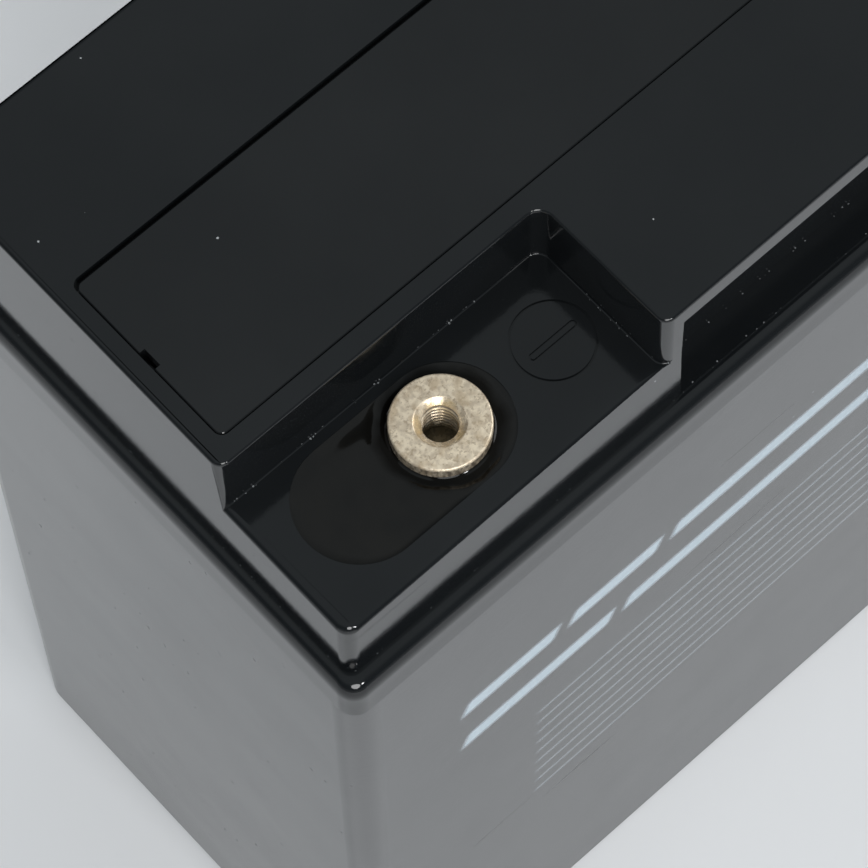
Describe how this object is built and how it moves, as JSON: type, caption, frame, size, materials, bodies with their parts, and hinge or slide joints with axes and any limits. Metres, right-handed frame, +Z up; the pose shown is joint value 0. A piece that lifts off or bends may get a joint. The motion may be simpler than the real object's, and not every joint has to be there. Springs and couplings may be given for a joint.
{
  "type": "sealed lead acid battery",
  "caption": "Box-shaped sealed battery with sunk threaded terminals in the lid's corners, a flush vent cover and finger grips under the lid's edge.",
  "frame": {"origin": "middle of the foot, on the surface the battery stands on", "axes": "+X along the battery towards its positive terminal, +Y from its front to its back, +Z up"},
  "size_m": [0.181, 0.076, 0.167],
  "materials": {
    "case_plastic": "black moulded ABS, glossy",
    "lid_plastic": "black moulded ABS, glossy, with fine scratches and dust",
    "cover_plastic": "black moulded ABS, glossy",
    "resin": "cast epoxy, nearly black, glossy",
    "terminal_metal": "tinned metal, dulled and spotted",
    "bar_metal": "plain strip",
    "lead": "cast lead, dull",
    "positive_paste": "pasted plate, dark brown, matt",
    "negative_paste": "pasted plate, grey, matt",
    "glass_mat": "glass fibre mat",
    "rubber": "soft rubber"
  },
  "bodies": {
    "root": {"case": "case_plastic", "lid": "lid_plastic", "vent_cover": "cover_plastic", "negative_terminal": "terminal_metal", "negative_resin": "resin", "negative_terminal_bar": "bar_metal", "negative_seal_ring": "rubber", "negative_end_strap": "lead", "positive_terminal": "terminal_metal", "positive_resin": "resin", "positive_terminal_bar": "bar_metal", "positive_seal_ring": "rubber", "positive_end_strap": "lead", "valve_cap_1": "rubber", "positive_plates_1": "positive_paste", "negative_plates_1": "negative_paste", "separators_1": "glass_mat", "valve_cap_2": "rubber", "positive_plates_2": "positive_paste", "negative_plates_2": "negative_paste", "separators_2": "glass_mat", "valve_cap_3": "rubber", "positive_plates_3": "positive_paste", "negative_plates_3": "negative_paste", "separators_3": "glass_mat", "valve_cap_4": "rubber", "positive_plates_4": "positive_paste", "negative_plates_4": "negative_paste", "separators_4": "glass_mat", "valve_cap_5": "rubber", "positive_plates_5": "positive_paste", "negative_plates_5": "negative_paste", "separators_5": "glass_mat", "valve_cap_6": "rubber", "positive_plates_6": "positive_paste", "negative_plates_6": "negative_paste", "separators_6": "glass_mat", "intercell_connector_1": "lead", "intercell_connector_2": "lead", "intercell_connector_3": "lead", "intercell_connector_4": "lead", "intercell_connector_5": "lead"}
  },
  "joints": []
}
